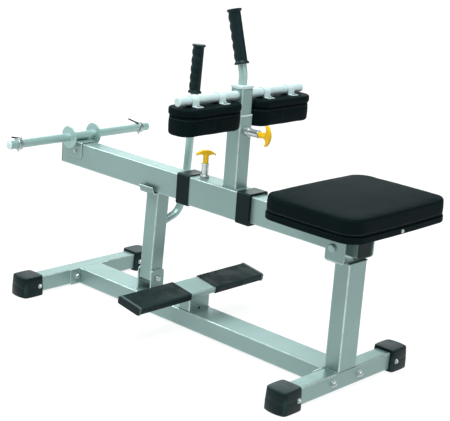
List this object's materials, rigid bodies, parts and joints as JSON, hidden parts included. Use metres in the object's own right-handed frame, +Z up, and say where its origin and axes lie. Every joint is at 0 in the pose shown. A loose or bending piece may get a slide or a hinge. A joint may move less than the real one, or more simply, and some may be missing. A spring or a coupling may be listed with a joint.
{
  "type": "seated calf raise machine",
  "caption": "Lever-arm seated calf raise machine: padded seat, tilted footrest, twin thigh pads on a sliding mast, round weight bar, and a swing-away catch with a long handle.",
  "frame": {"origin": "on the floor, under the middle of the bounding box", "axes": "+X from the weight end to the seat end, +Y away from the side seen first, +Z up"},
  "size_m": [1.4891, 0.6506, 1.0897],
  "materials": {
    "frame_paint": "silver grey-green powder coat, satin",
    "pale_paint": "pale silver powder coat, satin",
    "zinc": "zinc plated",
    "rubber": "matt black rubber",
    "black_plastic": "fine grained black plastic",
    "vinyl": "black vinyl with a soft sheen",
    "yellow_plastic": "yellow plastic, satin",
    "bronze": "plain bearing bronze"
  },
  "bodies": {
    "frame": {"base_tube": "frame_paint", "weight_stabiliser": "frame_paint", "seat_stabiliser": "frame_paint", "foot_cap_weight_near": "rubber", "foot_cap_weight_far": "rubber", "foot_cap_seat_near": "rubber", "foot_cap_seat_far": "rubber", "footrest_bar": "frame_paint", "footrest_pedestal": "frame_paint", "footrest_boot_near": "rubber", "footrest_boot_far": "rubber", "seat_post": "frame_paint", "seat_bracket": "frame_paint", "seat_board": "vinyl", "seat_cushion": "vinyl", "catch_ear_weight": "frame_paint", "catch_ear_seat": "frame_paint", "catch_pivot_bolt": "zinc", "arm_pivot_bolt": "zinc"},
    "arm": {"arm_tube": "frame_paint", "arm_cap_weight": "black_plastic", "arm_cap_seat": "black_plastic", "arm_pivot_tube": "frame_paint", "arm_pivot_bush_near": "bronze", "arm_pivot_bush_far": "bronze", "bar_saddle": "frame_paint", "weight_bar": "frame_paint", "bar_plug_near": "pale_paint", "bar_plug_far": "pale_paint"},
    "catch": {"catch_post": "frame_paint", "cradle": "frame_paint", "cradle_lining": "rubber", "catch_handle": "frame_paint", "catch_grip": "black_plastic"},
    "carriage": {"carriage_sleeve": "frame_paint", "collar_weight": "black_plastic", "collar_seat": "black_plastic", "mast": "frame_paint", "mast_lip": "pale_paint", "arm_pin_barrel": "zinc", "mast_pin_barrel": "zinc"},
    "knee_post": {"knee_post": "frame_paint", "knee_post_cap": "pale_paint", "cross_tube": "pale_paint", "top_handle": "frame_paint", "top_grip": "black_plastic", "clamp_near_inner": "pale_paint", "clamp_near_outer": "pale_paint", "clamp_far_inner": "pale_paint", "clamp_far_outer": "pale_paint", "thigh_pad_near": "vinyl", "thigh_pad_far": "vinyl"},
    "arm_pin": {"arm_pin_plunger": "zinc", "arm_pin_knob": "yellow_plastic"},
    "mast_pin": {"mast_pin_plunger": "zinc", "mast_pin_knob": "yellow_plastic"},
    "clip_near": {"bar_clip_near": "zinc", "clip_lever_near": "black_plastic"},
    "clip_far": {"bar_clip_far": "zinc", "clip_lever_far": "black_plastic"}
  },
  "joints": [
    {"name": "arm_lift", "type": "hinge", "parent": "frame", "child": "arm", "pos_m": [0.549, 0, 0.456], "axis": [0, 1, 0], "range_deg": [0, 5.6]},
    {"name": "catch_swing", "type": "hinge", "parent": "frame", "child": "catch", "pos_m": [-0.279, 0, 0.116], "axis": [-1, 0, 0], "range_deg": [0, 8.4]},
    {"name": "carriage_slide", "type": "slide", "parent": "arm", "child": "carriage", "axis": [1, 0, 0], "range_m": [-0.08, 0.08]},
    {"name": "knee_post_slide", "type": "slide", "parent": "carriage", "child": "knee_post", "axis": [0, 0, 1], "range_m": [-0.04, 0.08]},
    {"name": "arm_pin_pull", "type": "slide", "parent": "carriage", "child": "arm_pin", "axis": [0, 0, 1], "range_m": [0, 0.012], "stiffness_N_per_m": 1000, "springref_m": -0.008},
    {"name": "mast_pin_pull", "type": "slide", "parent": "carriage", "child": "mast_pin", "axis": [1, 0, 0], "range_m": [0, 0.012], "stiffness_N_per_m": 1000, "springref_m": -0.008},
    {"name": "clip_near_slide", "type": "slide", "parent": "arm", "child": "clip_near", "axis": [0, -1, 0], "range_m": [-0.2, 0.03]},
    {"name": "clip_far_slide", "type": "slide", "parent": "arm", "child": "clip_far", "axis": [0, 1, 0], "range_m": [-0.2, 0.03]}
  ],
  "couplings": [
    {"joint": "catch_swing", "follows": "arm_lift", "ratio": 1.5}
  ]
}
